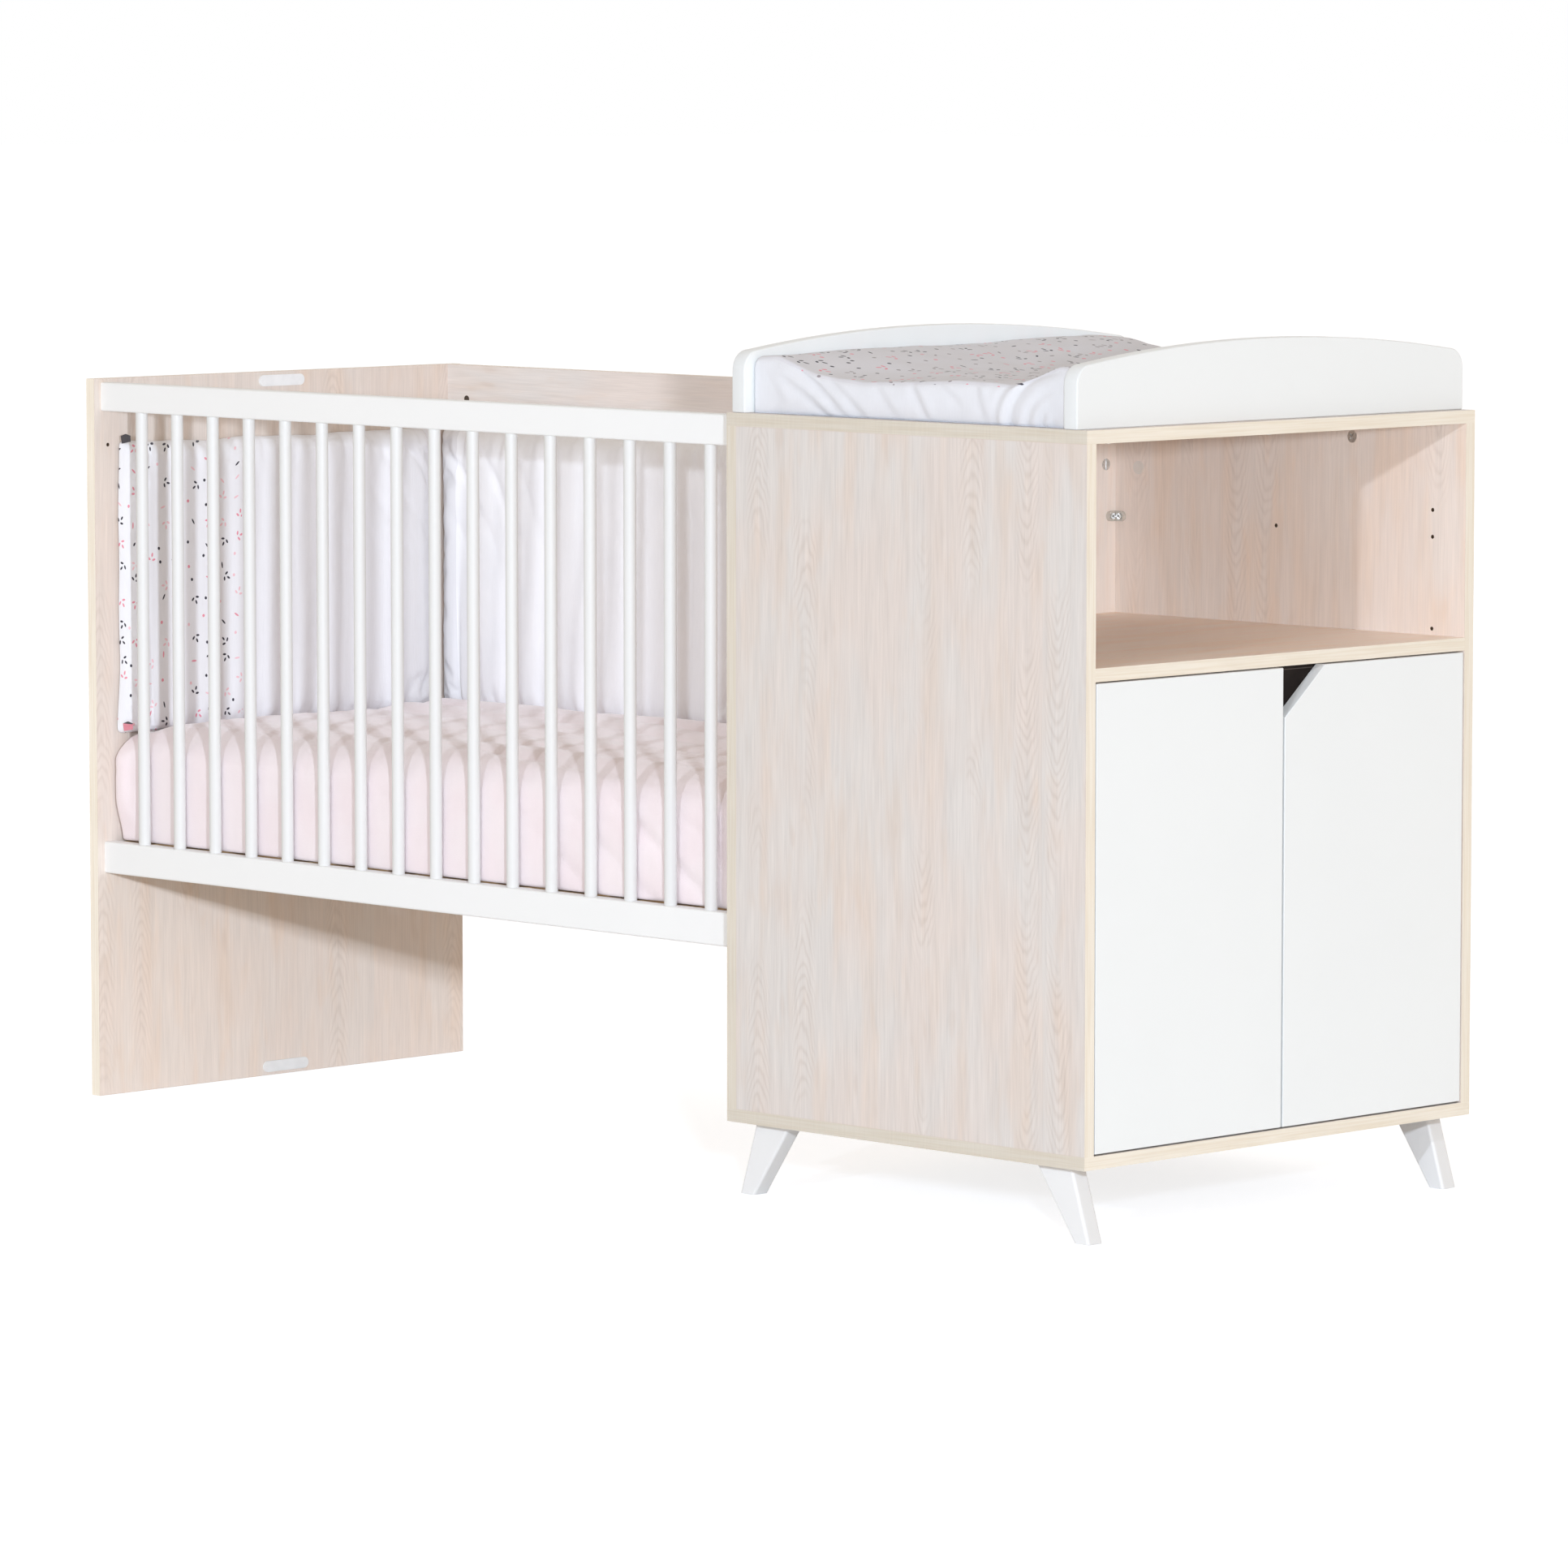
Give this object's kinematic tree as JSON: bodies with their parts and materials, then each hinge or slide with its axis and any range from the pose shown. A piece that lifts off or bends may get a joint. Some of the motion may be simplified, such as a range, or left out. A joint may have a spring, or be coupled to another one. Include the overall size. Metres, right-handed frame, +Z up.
{
  "type": "cot with attached changing dresser",
  "caption": "Baby cot joined to a changing dresser: laminate end and back panels, white barred side, open niche over two doors, and a padded changer between two arched boards.",
  "frame": {"origin": "middle of the whole footprint, on the floor", "axes": "+X along the cot from its end panel to the dresser's doors, +Y from the barred side to the solid back panel, +Z up"},
  "size_m": [1.836, 0.692, 1.056],
  "materials": {
    "laminate": "bleached ash laminate, matt, with cream edge bands",
    "white_lacquer": "cool white satin lacquer on wood and fibreboard",
    "white_plastic": "moulded, satin",
    "bracket_plastic": "moulded, translucent grey",
    "beige_plastic": "moulded, matt",
    "black_plate": "near-black, satin",
    "slat_wood": "raw pine, planed",
    "mattress_ticking": "white ticking over foam",
    "pink_plush": "pale pink plush",
    "bumper_cotton": "white cotton over wadding, one part with a small print",
    "grey_ribbon": "dark grey cotton ribbon",
    "pad_cotton": "light grey printed cotton on top, white towelling sides",
    "zinc": "zinc plated"
  },
  "bodies": {
    "frame": {"end_panel": "laminate", "slot_covers": "white_plastic", "front_upper_rail": "white_lacquer", "front_lower_rail": "white_lacquer", "bar_1": "white_lacquer", "bar_2": "white_lacquer", "bar_3": "white_lacquer", "bar_4": "white_lacquer", "bar_5": "white_lacquer", "bar_6": "white_lacquer", "bar_7": "white_lacquer", "bar_8": "white_lacquer", "bar_9": "white_lacquer", "bar_10": "white_lacquer", "bar_11": "white_lacquer", "bar_12": "white_lacquer", "bar_13": "white_lacquer", "bar_14": "white_lacquer", "bar_15": "white_lacquer", "bar_16": "white_lacquer", "back_panel": "laminate", "front_cleat": "slat_wood", "back_cleat": "slat_wood", "base_slats": "slat_wood", "mattress": "mattress_ticking", "quilt": "pink_plush", "bumper_end": "bumper_cotton", "bumper_back_left": "bumper_cotton", "bumper_back_right": "bumper_cotton", "tie_tabs": "grey_ribbon", "bed_bolts": "zinc", "barrel_nuts": "zinc", "dresser_top": "laminate", "dresser_bottom": "laminate", "near_side": "laminate", "far_side": "laminate", "dresser_back": "laminate", "middle_shelf": "laminate", "inner_shelf": "laminate", "shelf_pins": "zinc", "hinge_arms": "zinc", "foot_back_near": "white_lacquer", "foot_back_far": "white_lacquer", "foot_front_near": "white_lacquer", "foot_front_far": "white_lacquer", "cam_locks": "zinc", "cam_pins": "zinc", "cover_caps": "beige_plastic", "corner_brackets": "bracket_plastic", "wood_screws": "zinc", "changer_board_back": "white_lacquer", "changer_board_front": "white_lacquer", "changing_pad": "pad_cotton"},
    "near_door": {"near_door": "white_lacquer", "near_hinge_cups": "zinc", "near_cup_screws": "zinc"},
    "far_door": {"far_door": "white_lacquer", "far_hinge_cups": "zinc", "far_cup_screws": "zinc", "pull_plate": "black_plate"}
  },
  "joints": [
    {"name": "near_door_hinge", "type": "hinge", "parent": "frame", "child": "near_door", "pos_m": [0.918, -0.328, 0.385], "axis": [0, 0, -1], "range_deg": [0, 105]},
    {"name": "far_door_hinge", "type": "hinge", "parent": "frame", "child": "far_door", "pos_m": [0.918, 0.328, 0.385], "axis": [0, 0, 1], "range_deg": [0, 105]}
  ]
}
